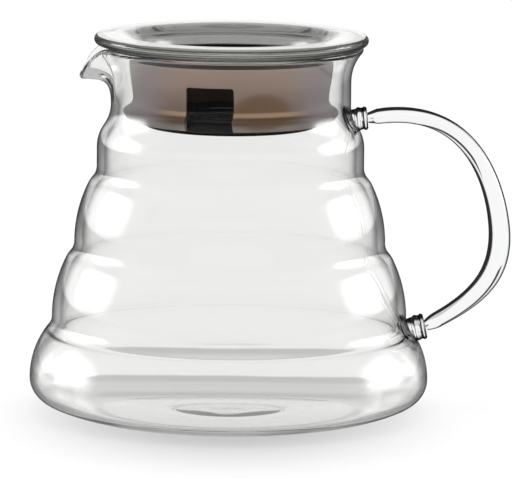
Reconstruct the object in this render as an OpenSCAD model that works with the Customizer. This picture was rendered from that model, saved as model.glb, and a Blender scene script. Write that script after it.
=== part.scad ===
// Glass coffee server: a tiered blown carafe with a drawn spout and a fused
// rod handle, closed by a glass lid that wears a silicone sleeve.
// Millimetres, +Z up. The origin is on the vessel's axis at the table.
// The handle points to +X and the spout to -X.

/* [Vessel] */
// Thickness of the blown glass wall
wall = 2.4; // [1.6:0.1:3.2]
// Outer radius at the widest part of the base
base_r = 62.5; // [56:0.5:70]
// Height where the lowest groove begins
first_groove_z = 30.4; // [28:0.1:34]
// Height from one groove to the next
tier_pitch = 23.7; // [21:0.1:27]
// Radius of the hollow curve in each groove
groove_r = 5.7; // [4:0.1:7]
// Radius of the curve where a groove turns into the tier's side
shoulder_r = 8; // [6:0.5:10]
// Share of the step between two tiers that the groove and its shoulder take
groove_share = 0.51; // [0.35:0.01:0.65]
// Radius of the curve at the widest part of the base
heel_r = 7.6; // [6:0.1:10]
// Radius of the shallow curve under the base
sole_r = 44.6; // [40:0.1:50]
// Turn of the heel's curve before the shallow one takes over, in degrees
heel_angle = 65; // [60:1:70]

/* [Neck and mouth] */
// Outer radius of the neck
neck_r = 37.5; // [35:0.1:40]
// How far the highest tier stands out past the neck
collar_out = 4.3; // [3.4:0.1:5.4]
// Height from the highest groove to the straight part of the neck
collar_rise = 19.7; // [18:0.1:22]
// Height that the widening under the neck takes
collar_drop = 13.5; // [11:0.1:15]
// Radius of the hollow curve under the neck
collar_fillet_r = 12; // [8:0.5:14]
// Height of the neck and the flared mouth together
neck_h = 18.7; // [17:0.1:22]
// Radius of the curve that flares the mouth
flare_r = 14.2; // [12:0.1:16]
// Lean of the mouth at its edge, in degrees from upright
flare_angle = 40.6; // [36:0.1:44]

/* [Spout] */
// How far the spout's tip reaches past the neck
spout_out = 9.8; // [8:0.1:12]
// Drop from the mouth's edge to the bead at the tip
spout_drop = 9.8; // [8.5:0.1:11]
// Half width of the spout's tip
spout_tip_half = 2; // [1.3:0.1:3]
// Half width of the spout where it leaves the mouth's edge
spout_root_half = 11.6; // [10:0.1:13]
// Drop from the mouth's edge to that place
spout_root_drop = 2.2; // [1.2:0.1:3]
// Half width of the fold where the spout's underside meets the neck
spout_fold_half = 3.2; // [2:0.1:4.5]

/* [Base mark] */
// Radius of the ring left by the glassmaker's iron
mark_r = 17; // [14:0.1:24]
// Radius of the ring's rounded groove
mark_groove_r = 0.7; // [0.4:0.1:1]

/* [Handle] */
// Distance from the base's widest place out to the middle of the rod
handle_out = 22; // [18:0.1:28]
// Height of the rod's farthest place above the lower weld
grip_rise = 28.5; // [26:0.1:34]
// Radius of the rod where it is thickest, in the grip
grip_r = 3.5; // [3:0.05:3.8]
// Radius of the rod before it thins down at the welds
rod_end_r = 2.5; // [2.1:0.05:2.8]
// Radius of the thin neck at each end of the rod
rod_neck_r = 1.6; // [1.3:0.1:2]
// Length over which the rod thins down to that neck
rod_neck_l = 4.5; // [3:0.1:6]
// Power of the swell, more for a shorter one
swell_power = 1.7; // [1.2:0.1:2.2]
// Power that moves the swell down the rod, 1 for halfway
swell_late = 1.25; // [1:0.05:1.4]
// Rise of the rod as it leaves the upper weld, in degrees
upper_rise = 12; // [8:1:20]
// Pull of the curve at the upper weld
upper_pull = 38; // [32:0.5:42]
// Pull of the curve above the grip
grip_pull_up = 7.8; // [5:0.1:12]
// Pull of the curve below the grip
grip_pull_down = 12.9; // [10:0.1:16]
// Pull of the curve at the lower weld
lower_pull = 18.1; // [14:0.1:22]
// Rise of the rod as it leaves the lower weld, in degrees
lower_rise = 27.5; // [22:0.5:34]

/* [Welds] */
// How far the middle of the upper weld's face stands out past the neck
upper_weld_out = 5.2; // [4.6:0.1:5.8]
// Drop from the straight part of the neck to that place
upper_weld_drop = 4; // [3:0.1:5]
// How far the middle of the lower weld's face stands out past the groove over it
lower_weld_out = 6; // [5.4:0.1:6.6]
// Drop from that groove to that place
lower_weld_drop = 2.5; // [2:0.1:3.5]
// Radius of the upper weld at its rolled edges
upper_weld_r = 3.7; // [3.4:0.1:4.2]
// Radius of the lower weld at its rolled edges
lower_weld_r = 4.1; // [3.7:0.1:4.5]
// Distance between the two rolled edges of a pad
weld_ring_gap = 1.9; // [1.7:0.1:2.2]
// Radius of each rolled edge
weld_ring_r = 0.8; // [0.6:0.05:0.9]
// Lean of the upper weld's face, in degrees
upper_weld_lean = 6; // [2:1:12]
// Lean of the lower weld's face, in degrees
lower_weld_lean = 13; // [8:1:18]

/* [Lid] */
// How far the flange reaches past the mouth's edge
lid_overhang = 1.6; // [1:0.1:3]
// Thickness of the flange and of its rounded edge
flange_t = 3; // [2.4:0.1:3.6]
// Free space between the neck and the well that hangs in it
well_gap = 6.1; // [5:0.1:7.5]
// Thickness of the well's wall and floor
well_wall = 2; // [1.5:0.1:2.4]
// Depth of the well below the flange
well_drop = 26.2; // [24:0.1:28]
// Radius of the flare at the well's opening
well_flare_r = 7.4; // [6:0.1:8]
// Radius of the hollow curve under the flange
well_fillet_r = 3.4; // [2.6:0.1:3.8]
// Outer radius of the curve round the well's floor
well_floor_r = 4.6; // [3.6:0.1:6]
// Gap between the mouth's edge and the flange that rests on it
seat_gap = 0.1; // [0.05:0.05:0.3]

/* [Sleeve] */
// Height of the silicone sleeve
sleeve_h = 20.4; // [18:0.1:21]
// Rise from the underside of the well to the sleeve's foot
sleeve_foot_rise = 2.2; // [1:0.1:3]
// Thickness of the sleeve at its top
sleeve_top_t = 2.8; // [2.2:0.1:3.4]
// Thickness of the sleeve at its waist
sleeve_waist_t = 1.6; // [1.2:0.1:2]
// Height of the waist above the foot
sleeve_waist_rise = 7.4; // [6:0.1:9]
// Reach of the lip that steadies the lid in the neck, from the well
sleeve_lip_t = 4.6; // [3.6:0.1:5]
// Height of the lip above the foot
sleeve_lip_rise = 3.4; // [2.6:0.1:4.4]
// Radius of the lip's rounded edge
sleeve_lip_round = 0.8; // [0.5:0.05:1]
// Turn of the rounded edge below the lip, in degrees
sleeve_lip_under = 60; // [45:1:80]
// Turn of the rounded edge above the lip, in degrees
sleeve_lip_over = 110; // [90:1:120]
// Thickness of the sleeve at its foot
sleeve_foot_t = 2; // [1.4:0.1:2.6]
// Width of the pouring notch
notch_w = 14.8; // [10:0.1:18]
// Height of the pouring notch
notch_h = 14; // [10:0.1:16]
// Direction of the notch round the axis, in degrees from the handle
notch_turn = 258; // [180:1:359]
// Running gap between the sleeve and the well
sleeve_fit = 0.05; // [0.02:0.01:0.1]

/* [Hidden] */
$fn = 96;
// Sides of the balls that a hull blends
hull_fn = 18;
// Turn from one ball of the spout's edge to the next, in degrees
spout_step = 18;
// How far inside the middle of the wall the spout's form ends
spout_bury = 0.4;
// Sides of the rod, and its rings in each of its two curves
rod_sides = 20;
rod_rings = 32;
// Extra reach of every cutting shape
overrun = 1;
// Largest turn from one point to the next along an arc, in degrees
arc_step = 5;

tier_count = 4;
top_tier_r = neck_r + collar_out;
tier_step = (base_r - top_tier_r) / (tier_count - 1);
tier_radii = [for (i = [0:tier_count - 1]) base_r - tier_step * i];
groove_tops = [for (i = [0:tier_count - 2]) first_groove_z + tier_pitch * i];
// Steepest lean of a groove, from upright
shoulder_angle = acos(1 - groove_share * tier_step / (groove_r + shoulder_r));
widest_z = sole_r - (sole_r - heel_r) * sin(heel_angle);
sole_x = base_r - heel_r - (sole_r - heel_r) * cos(heel_angle);
collar_top_z = groove_tops[tier_count - 2] + collar_rise;
collar_bottom_z = collar_top_z - collar_drop;
collar_sum_r = (pow(collar_out, 2) + pow(collar_drop, 2)) / (2 * collar_out);
collar_angle = asin(collar_drop / collar_sum_r);
collar_bulge_r = collar_sum_r - collar_fillet_r;
rim_top_z = collar_top_z + neck_h;
lip_r = wall / 2;
lip_z = rim_top_z - lip_r;
flare_z = lip_z - (flare_r + lip_r) * sin(flare_angle);
lip_x = neck_r + flare_r - (flare_r + lip_r) * cos(flare_angle);
spout_tip_z = rim_top_z - spout_drop;
lid_r = lip_x + lip_r + lid_overhang;
flange_z = rim_top_z + seat_gap;
lid_top_z = flange_z + flange_t;
well_r = neck_r - wall - well_gap;
well_in_r = well_r - well_wall;
well_bottom_z = flange_z - well_drop;
sleeve_foot_z = well_bottom_z + sleeve_foot_rise;
upper_weld_x = neck_r + upper_weld_out;
upper_weld_z = collar_top_z - upper_weld_drop;
lower_weld_x = tier_radii[1] + lower_weld_out;
lower_weld_z = groove_tops[0] - lower_weld_drop;

// Points along a round of radius r about c, without the first one.
function arc(c, r, from, to) =
    let (n = ceil(abs(to - from) / arc_step))
    [for (i = [1:n]) let (a = from + (to - from) * i / n) c + r * [cos(a), sin(a)]];

// From the widest place of a tier up to the groove over it. A wide bulge that
// starts upright, a tight one and the hollow of the groove follow each other,
// each tangent to the last.
function tier_path(low_r, high_r, low_z, top_z, inset) =
    let (
        lean = shoulder_angle,
        across = low_r - high_r - groove_r * (1 - cos(lean)) + shoulder_r * cos(lean),
        rise = top_z - low_z - (groove_r + shoulder_r) * sin(lean),
        turn = 2 * atan((across - shoulder_r) / rise),
        wide_r = shoulder_r + rise / sin(turn),
        groove_c = [high_r + groove_r, top_z],
        shoulder_c = groove_c - (groove_r + shoulder_r) * [cos(lean), sin(lean)]
    )
    concat(
        arc([low_r - wide_r, low_z], wide_r - inset, 0, turn),
        arc(shoulder_c, shoulder_r - inset, turn, lean),
        arc(groove_c, groove_r + inset, 180 + lean, 180)
    );

// The vessel's side from the table to the mouth, drawn in by inset.
function side_path(inset) = concat(
    [[0, inset], [sole_x, inset]],
    arc([sole_x, sole_r], sole_r - inset, -90, -heel_angle),
    arc([base_r - heel_r, widest_z], heel_r - inset, -heel_angle, 0),
    [for (i = [0:tier_count - 2])
        let (low_z = i == 0 ? widest_z : groove_tops[i - 1])
        each tier_path(tier_radii[i], tier_radii[i + 1], low_z, groove_tops[i], inset)],
    [[top_tier_r - inset, collar_bottom_z]],
    arc([top_tier_r - collar_bulge_r, collar_bottom_z], collar_bulge_r - inset, 0, collar_angle),
    arc([neck_r + collar_fillet_r, collar_top_z], collar_fillet_r + inset, 180 + collar_angle, 180),
    [[neck_r - inset, flare_z]],
    arc([neck_r + flare_r, flare_z], flare_r + inset, 180, 180 - flare_angle)
);

function reverse(path) = [for (i = [len(path) - 1:-1:0]) path[i]];

// The whole vessel filled up, which the welds stop against.
module filled_vessel() {
    rotate_extrude() polygon(concat(side_path(0), [[0, lip_z]]));
}

// The space in the neck and mouth, out to inside their wall.
module mouth_space() {
    low_r = neck_r - lip_r - spout_bury;
    high_r = lip_x - spout_bury;
    top_z = rim_top_z + overrun;
    rotate_extrude() polygon([
        [0, collar_top_z], [low_r, collar_top_z], [low_r, flare_z],
        [high_r, lip_z], [high_r, top_z], [0, top_z]
    ]);
}

// The spout's form: its edge curves from the tip up to the mouth, and its
// underside runs level to the neck. Drawn in by inset it is the trough, which
// runs on upward.
module spout_form(inset, run_up) {
    tip_x = neck_r + spout_out - lip_r - inset;
    reach = neck_r + spout_out - lip_r - lip_x;
    floor_z = spout_tip_z + inset / 2;
    rise = spout_drop - spout_root_drop;
    fold_x = neck_r - lip_r - inset;
    edge = [for (a = [0:spout_step:90]) [
        tip_x - reach * (1 - cos(a)),
        max(spout_tip_half + (spout_root_half - spout_tip_half) * sin(a) - inset, lip_r),
        floor_z + rise * sqrt(1 - cos(a))
    ]];
    places = concat(edge, [
        [fold_x, max(spout_fold_half - inset, lip_r), floor_z],
        [fold_x - wall, spout_root_half - inset, floor_z + rise],
    ]);
    hull()
        for (p = places, side = [-1, 1])
            translate([-p[0], side * p[1], p[2]]) {
                sphere(lip_r, $fn = hull_fn);
                if (run_up > 0) cylinder(r = lip_r, h = run_up, $fn = hull_fn);
            }
}

module carafe_body() {
    color("azure", 0.4) difference() {
        union() {
            rotate_extrude() polygon(concat(
                side_path(0),
                arc([lip_x, lip_z], lip_r, -flare_angle, 180 - flare_angle),
                reverse(side_path(wall))
            ));
            difference() {
                spout_form(0, 0);
                mouth_space();
            }
        }
        spout_form(wall, spout_drop);
        rotate_extrude() translate([mark_r, 0]) circle(mark_groove_r);
    }
}

// A point of a cubic curve through a and d, pulled towards b and c.
function curve_point(a, b, c, d, t) =
    pow(1 - t, 3) * a + 3 * pow(1 - t, 2) * t * b + 3 * (1 - t) * t * t * c + pow(t, 3) * d;
function curve_way(a, b, c, d, t) =
    pow(1 - t, 2) * (b - a) + 2 * (1 - t) * t * (c - b) + t * t * (d - c);

upper_start = [upper_weld_x, upper_weld_z];
upper_way = [cos(upper_rise), sin(upper_rise)];
grip_place = [base_r + handle_out, lower_weld_z + grip_rise];
lower_end = [lower_weld_x, lower_weld_z];
lower_way = [cos(lower_rise), sin(lower_rise)];
upper_curve = [upper_start, upper_start + upper_pull * upper_way,
    grip_place + [0, grip_pull_up], grip_place];
lower_curve = [grip_place, grip_place - [0, grip_pull_down],
    lower_end + lower_pull * lower_way, lower_end];

// The rod's middle line and its direction, in the plane of the handle. It is
// run on past both faces of the welds, which trim it.
function on_curve(k, t) = curve_point(k[0], k[1], k[2], k[3], t);
function way_of(k, t) = let (w = curve_way(k[0], k[1], k[2], k[3], t)) w / norm(w);
rod_line = concat(
    [[upper_start - weld_ring_r * upper_way, upper_way]],
    [for (i = [0:rod_rings]) [on_curve(upper_curve, i / rod_rings), way_of(upper_curve, i / rod_rings)]],
    [for (i = [1:rod_rings]) [on_curve(lower_curve, i / rod_rings), way_of(lower_curve, i / rod_rings)]],
    [[lower_end - weld_ring_r * lower_way, -lower_way]]
);
rod_last = len(rod_line) - 1;
function swell(i) = pow(sin(180 * pow(i / rod_last, swell_late)), swell_power);
function from_weld(i) = min(norm(rod_line[i][0] - upper_start), norm(rod_line[i][0] - lower_end));
function thinning(i) = pow(max(0, 1 - from_weld(i) / rod_neck_l), 2);
function rod_r(i) = rod_end_r + (grip_r - rod_end_r) * swell(i) - (rod_end_r - rod_neck_r) * thinning(i);
rod_points = [for (i = [0:rod_last], j = [0:rod_sides - 1])
    let (c = rod_line[i][0], w = rod_line[i][1], a = 360 * j / rod_sides, r = rod_r(i))
    [c[0] - r * cos(a) * w[1], r * sin(a), c[1] + r * cos(a) * w[0]]];
rod_faces = concat(
    [[for (j = [0:rod_sides - 1]) j]],
    [for (i = [0:rod_last - 1], j = [0:rod_sides - 1])
        let (a = i * rod_sides, k = (j + 1) % rod_sides)
        [a + j, a + rod_sides + j, a + rod_sides + k, a + k]],
    [[for (j = [rod_sides - 1:-1:0]) rod_last * rod_sides + j]]
);

module handle_rod() {
    color("azure", 0.5) difference() {
        polyhedron(rod_points, rod_faces);
        weld_form(upper_start, upper_weld_r, upper_weld_lean);
        weld_form(lower_end, lower_weld_r, lower_weld_lean);
    }
}

// A pad of fused glass, its face centred at place, with two rolled edges.
module weld_form(place, r, lean) {
    core_r = r - weld_ring_r;
    depth = r + weld_ring_gap + weld_ring_r;
    translate([place[0], 0, place[1]]) rotate([0, 90 - lean, 0])
        rotate_extrude() {
            translate([0, -depth]) square([core_r, depth]);
            for (ring = [0, 1])
                translate([core_r, -weld_ring_r - ring * weld_ring_gap]) circle(weld_ring_r);
        }
}

module upper_weld() {
    color("azure", 0.5) difference() {
        weld_form(upper_start, upper_weld_r, upper_weld_lean);
        filled_vessel();
    }
}

module lower_weld() {
    color("azure", 0.5) difference() {
        weld_form(lower_end, lower_weld_r, lower_weld_lean);
        filled_vessel();
    }
}

// A block from the axis out to r, with its lower outer corner rounded.
module round_foot(r, corner_r, low, high) {
    translate([0, low + corner_r]) square([r, high - low - corner_r]);
    translate([0, low]) square([r - corner_r, high - low]);
    translate([r - corner_r, low + corner_r]) circle(corner_r);
}

// Half of the lid's section: a flange with a rounded edge, and the well.
module lid_outline() {
    floor_in_r = well_floor_r - well_wall;
    edge_r = flange_t / 2;
    fillet_x = well_r + well_fillet_r;
    flare_x = well_in_r + well_flare_r;
    difference() {
        union() {
            translate([0, flange_z]) square([lid_r - edge_r, flange_t]);
            translate([lid_r - edge_r, flange_z + edge_r]) circle(edge_r);
            difference() {
                translate([0, flange_z - well_fillet_r]) square([fillet_x, well_fillet_r]);
                translate([fillet_x, flange_z - well_fillet_r]) circle(well_fillet_r);
            }
            round_foot(well_r, well_floor_r, well_bottom_z, flange_z - well_fillet_r);
        }
        difference() {
            translate([0, lid_top_z - well_flare_r]) square([flare_x, well_flare_r]);
            translate([flare_x, lid_top_z - well_flare_r]) circle(well_flare_r);
        }
        round_foot(well_in_r, floor_in_r, well_bottom_z + well_wall, lid_top_z - well_flare_r);
    }
}

module lid_glass() {
    color("lightcyan", 0.5) rotate_extrude() lid_outline();
}

// Half of the sleeve's section: a waisted wall and a thin lip near its foot.
module sleeve_outline() {
    lip_c = [sleeve_lip_t - sleeve_lip_round, sleeve_lip_rise];
    translate([well_r, sleeve_foot_z]) polygon(concat(
        [[sleeve_fit, 0], [sleeve_foot_t, 0]],
        arc(lip_c, sleeve_lip_round, -sleeve_lip_under, sleeve_lip_over),
        [[sleeve_waist_t, sleeve_waist_rise], [sleeve_top_t, sleeve_h], [sleeve_fit, sleeve_h]]
    ));
}

module lid_sleeve() {
    color("rosybrown", 0.8) difference() {
        rotate_extrude() sleeve_outline();
        rotate([0, 0, notch_turn]) translate([well_r - overrun, -notch_w / 2, sleeve_foot_z - overrun])
            cube([sleeve_lip_t + 2 * overrun, notch_w, notch_h + overrun]);
    }
}

carafe_body();
handle_rod();
upper_weld();
lower_weld();
lid_glass();
lid_sleeve();
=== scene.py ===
"""Studio picture of a tiered glass coffee server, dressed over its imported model.

Metres, +Z up. The origin is on the vessel's axis at the table. The handle
points to +X and the spout to -X. Sizes in the classes below are millimetres.
"""

import logging
import math
from dataclasses import dataclass, field
from enum import Enum
from typing import Callable, Iterable, Sequence, Union

import bpy
import bmesh
from mathutils import Euler, Matrix, Vector


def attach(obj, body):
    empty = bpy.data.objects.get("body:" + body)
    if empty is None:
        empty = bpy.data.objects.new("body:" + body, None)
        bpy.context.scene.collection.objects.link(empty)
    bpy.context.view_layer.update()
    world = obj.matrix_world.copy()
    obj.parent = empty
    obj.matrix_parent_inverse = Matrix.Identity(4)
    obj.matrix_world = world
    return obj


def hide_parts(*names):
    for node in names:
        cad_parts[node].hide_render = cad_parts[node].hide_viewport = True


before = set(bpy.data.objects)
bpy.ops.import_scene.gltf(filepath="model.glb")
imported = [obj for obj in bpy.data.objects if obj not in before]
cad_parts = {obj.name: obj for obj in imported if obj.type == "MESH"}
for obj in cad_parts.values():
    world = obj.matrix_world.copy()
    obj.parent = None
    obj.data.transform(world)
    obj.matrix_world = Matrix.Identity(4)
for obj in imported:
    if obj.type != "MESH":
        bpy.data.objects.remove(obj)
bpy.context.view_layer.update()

MM = 0.001
CREASE = 50.0
log = logging.getLogger("coffee_server")

Socket, Node = bpy.types.NodeSocket, bpy.types.Node
Piece, Material = bpy.types.Object, bpy.types.Material
Owner = Union[Material, bpy.types.World]
Point, Triple = tuple[float, float], tuple[float, float, float]
Outline = list[Point]


def arc(centre: Point, radius: float, start: float, end: float, step: float = 5.0) -> Outline:
    """Points along an arc, without the first one.

    Args:
        centre: Middle of the arc.
        radius: Radius of the arc.
        start: Angle at the start, in degrees.
        end: Angle at the end, in degrees.
        step: Largest turn from one point to the next, in degrees.
    """
    count = max(1, math.ceil(abs(end - start) / step))
    turns = [math.radians(start + (end - start) * i / count) for i in range(1, count + 1)]
    return [(centre[0] + radius * math.cos(a), centre[1] + radius * math.sin(a)) for a in turns]


def line(start: Point, end: Point, parts: int) -> Outline:
    """Points that part a straight stretch evenly, without the first one."""
    return [tuple(a + (b - a) * i / parts for a, b in zip(start, end)) for i in range(1, parts + 1)]


def ease(value: float) -> float:
    """Smooth step from 0 to 1."""
    t = min(1.0, max(0.0, value))
    return t * t * (3 - 2 * t)


def cubic(a: Point, b: Point, c: Point, d: Point, t: float) -> Point:
    """The point at t, from 0 to 1, of the curve from a to d, pulled by b and c."""
    s = 1 - t
    return tuple(
        s ** 3 * p + 3 * s * s * t * q + 3 * s * t * t * r + t ** 3 * u
        for p, q, r, u in zip(a, b, c, d)
    )


def flat_way(rise: float) -> Vector:
    """Direction in the handle's plane, that many degrees above level."""
    return Vector((math.cos(math.radians(rise)), 0, math.sin(math.radians(rise))))


def away(turn: float, rise: float) -> Vector:
    """Direction to a light, in degrees round from the camera and above level."""
    a, e = math.radians(turn), math.radians(rise)
    return Vector((math.sin(a) * math.cos(e), -math.cos(a) * math.cos(e), math.sin(e)))


# ---- modelling


class Bench:
    """Modelling with Blender's own operators, as by hand in edit mode."""

    @staticmethod
    def mode(kind: str) -> None:
        """Goes to "EDIT" or to "OBJECT" mode."""
        bpy.ops.object.mode_set(mode=kind)

    @staticmethod
    def clear() -> None:
        """Leaves edit mode and deselects everything."""
        if bpy.context.object and bpy.context.object.mode != "OBJECT":
            Bench.mode("OBJECT")
        bpy.ops.object.select_all(action="DESELECT")

    @classmethod
    def pick(cls, obj: Piece) -> Piece:
        """Makes obj the only selected object and the active one."""
        cls.clear()
        obj.select_set(True)
        bpy.context.view_layer.objects.active = obj
        return obj

    @classmethod
    def lathe(cls, name: str, outline: Outline, steps: int) -> Piece:
        """Extrudes one vertex along an outline, and spins that chain round Z.

        Args:
            name: Name of the new object.
            outline: Radius and height of each point, in millimetres.
            steps: Parts of the full turn.

        Returns:
            The closed object, with its faces pointing outward.
        """
        cls.clear()
        bpy.ops.mesh.primitive_plane_add(size=MM, enter_editmode=True)
        obj = bpy.context.object
        obj.name = obj.data.name = name
        bpy.ops.mesh.select_mode(type="VERT")
        bpy.ops.mesh.select_all(action="SELECT")
        bpy.ops.mesh.merge(type="CENTER")
        x, z = outline[0]
        bpy.ops.transform.translate(value=(x * MM, 0, z * MM))
        for next_x, next_z in outline[1:]:
            step = ((next_x - x) * MM, 0, (next_z - z) * MM)
            bpy.ops.mesh.extrude_vertices_move(TRANSFORM_OT_translate={"value": step})
            x, z = next_x, next_z
        bpy.ops.mesh.select_all(action="SELECT")
        bpy.ops.mesh.spin(steps=steps, angle=math.tau, center=(0, 0, 0), axis=(0, 0, 1))
        cls.heal(obj)
        if sum(f.area * f.normal.dot(f.center) for f in obj.data.polygons) < 0:
            obj.data.flip_normals()
        return obj

    @classmethod
    def heal(cls, obj: Piece) -> None:
        """Merges doubles and turns all faces outward."""
        cls.pick(obj)
        cls.mode("EDIT")
        bpy.ops.mesh.select_all(action="SELECT")
        bpy.ops.mesh.remove_doubles(threshold=0.002 * MM)
        bpy.ops.mesh.normals_make_consistent(inside=False)
        cls.mode("OBJECT")

    @classmethod
    def cut(cls, obj: Piece, tool: Piece) -> None:
        """Cuts tool out of obj and deletes tool."""
        cls.pick(obj)
        modifier = obj.modifiers.new("Cut", "BOOLEAN")
        modifier.operation, modifier.solver, modifier.object = "DIFFERENCE", "EXACT", tool
        bpy.ops.object.modifier_apply(modifier=modifier.name)
        bpy.data.objects.remove(tool)

    @classmethod
    def soften(cls, obj: Piece, degrees: float = CREASE) -> None:
        """Shades smooth across edges flatter than that many degrees."""
        cls.pick(obj)
        bpy.ops.object.shade_smooth_by_angle(angle=math.radians(degrees))


# ---- shader maths

Value = Union["Signal", float]
Settings = dict[str, object]
Inputs = dict[Union[str, int], object]


def operator(operation: str, turned: bool = False) -> Callable[["Signal", Value], "Signal"]:
    """Makes one of Python's operators, which adds a Math node.

    Args:
        operation: Operation of the node.
        turned: Whether the signal is the second value.
    """
    def method(self: "Signal", other: Value) -> "Signal":
        """Adds the Math node."""
        return self._math(operation, *((other, self) if turned else (self, other)))

    return method


class Signal:
    """One number over a surface. Python's operators add the Math nodes."""

    __add__, __radd__ = operator("ADD"), operator("ADD", turned=True)
    __sub__, __rsub__ = operator("SUBTRACT"), operator("SUBTRACT", turned=True)
    __mul__, __truediv__, __pow__ = operator("MULTIPLY"), operator("DIVIDE"), operator("POWER")
    __gt__, __lt__ = operator("GREATER_THAN"), operator("LESS_THAN")

    def __init__(self, graph: "Graph", socket: Socket) -> None:
        """Wraps the output socket of a node of graph."""
        self.graph = graph
        self.socket = socket

    def _math(self, operation: str, *values: Value) -> "Signal":
        """Adds a Math node with that operation on values."""
        return self.graph.number(
            "ShaderNodeMath", {"operation": operation}, dict(enumerate(values))
        )

    def __abs__(self) -> "Signal":
        """Size without the sign."""
        return self._math("ABSOLUTE", self)

    def step(self, low: float, high: float, unit: float = 1.0) -> "Signal":
        """Smooth step from 0 at low, which may be the greater, to 1 at high."""
        if low > high:
            return 1 - self.step(high, low, unit)
        ends = {"Value": self, "From Min": low * unit, "From Max": high * unit}
        return self.graph.number("ShaderNodeMapRange", {"interpolation_type": "SMOOTHSTEP"}, ends)

    def band(self, edges: Sequence[float], unit: float = 1.0) -> "Signal":
        """1 between the middle two of four edges, falling to 0 at the outer two."""
        return self.step(edges[0], edges[1], unit) * self.step(edges[3], edges[2], unit)


class Graph:
    """The node tree of one material or of the world."""

    MATT_BLACK = {"Base Color": (0, 0, 0, 1), "Roughness": 0.5, "Specular IOR Level": 0.0}

    def __init__(self, owner: Owner) -> None:
        """Empties the node tree of owner."""
        owner.use_nodes = True
        self.owner, self.tree = owner, owner.node_tree
        self.tree.nodes.clear()

    def node(self, kind: str, settings: Settings = {}, values: Inputs = {}) -> Node:
        """Adds any node.

        Args:
            kind: Type of the node.
            settings: Its own settings, set first.
            values: A value, or a socket to link, for each input by name or number.
        """
        made = self.tree.nodes.new(kind)
        for key, value in settings.items():
            setattr(made, key, value)
        for key, value in values.items():
            if isinstance(value, Signal):
                value = value.socket
            if isinstance(value, Socket):
                self.tree.links.new(value, made.inputs[key])
            else:
                made.inputs[key].default_value = value
        return made

    def number(
        self, kind: str, settings: Settings, values: Inputs, output: Union[str, int] = 0
    ) -> Signal:
        """Adds a node and wraps one of its outputs."""
        return Signal(self, self.node(kind, settings, values).outputs[output])

    def mix(self, share: Value, low: object, high: object) -> Socket:
        """A colour between low at share 0 and high at share 1."""
        made = self.node("ShaderNodeMix", {"data_type": "RGBA"}, {0: share, 6: low, 7: high})
        return made.outputs[2]

    def place(self, kind: str = "Object") -> tuple[Signal, Signal, Signal]:
        """X, Y and Z over the surface: by default those of the place, in metres."""
        vector = self.node("ShaderNodeTexCoord").outputs[kind]
        made = self.node("ShaderNodeSeparateXYZ", {}, {0: vector})
        return tuple(Signal(self, out) for out in made.outputs)

    def noise(self, size: float, stretch: Sequence[float] = (1, 1, 1), detail: float = 3) -> Signal:
        """Soft noise, mostly near 0.5.

        Args:
            size: Width of a patch, in millimetres.
            stretch: How much longer the patches are along X, Y and Z.
            detail: Octaves of finer noise.
        """
        scale = tuple(1 / s for s in stretch)
        place = self.node("ShaderNodeTexCoord").outputs["Object"]
        shaped = self.node("ShaderNodeMapping", {}, {"Vector": place, "Scale": scale})
        values = {"Vector": shaped.outputs[0], "Scale": 1 / (size * MM), "Detail": detail}
        return self.number("ShaderNodeTexNoise", {}, values)

    def bump(self, height: Value, depth: float, strength: float = 1.0) -> Socket:
        """A normal whose relief is depth millimetres high."""
        values = {"Strength": strength, "Distance": depth * MM, "Height": height}
        return self.node("ShaderNodeBump", {}, values).outputs[0]

    def blend(self, share: Value, first: Node, second: Node) -> Node:
        """Mixes the second shader into the first by share."""
        values = {0: share, 1: first.outputs[0], 2: second.outputs[0]}
        return self.node("ShaderNodeMixShader", {}, values)

    def blacken(self, share: Signal, shader: Node) -> Node:
        """Mixes matt black into a shader by share, as painted shade."""
        return self.blend(share, shader, self.node("ShaderNodeBsdfPrincipled", {}, self.MATT_BLACK))

    def finish(self, shader: Node, kind: str = "ShaderNodeOutputMaterial") -> Owner:
        """Links shader to the tree's output, and hands back the tree's owner."""
        self.node(kind, {}, {"Surface": shader.outputs[0]})
        return self.owner


def depths(g: Graph) -> tuple[Signal, Signal, Signal]:
    """How often light was scattered, mirrored and bent on its way."""
    path = g.node("ShaderNodeLightPath")
    kinds = ("Diffuse", "Glossy", "Transmission")
    return tuple(Signal(g, path.outputs[kind + " Depth"]) for kind in kinds)


def around(x: Signal, y: Signal) -> Signal:
    """Distance from the server's axis."""
    return (x * x + y * y) ** 0.5


# ---- finishes


class Slot(Enum):
    """Material slots of the record."""

    VESSEL = "vessel_glass"
    HANDLE = "handle_glass"
    LID = "lid_glass"
    SLEEVE = "silicone"


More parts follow.
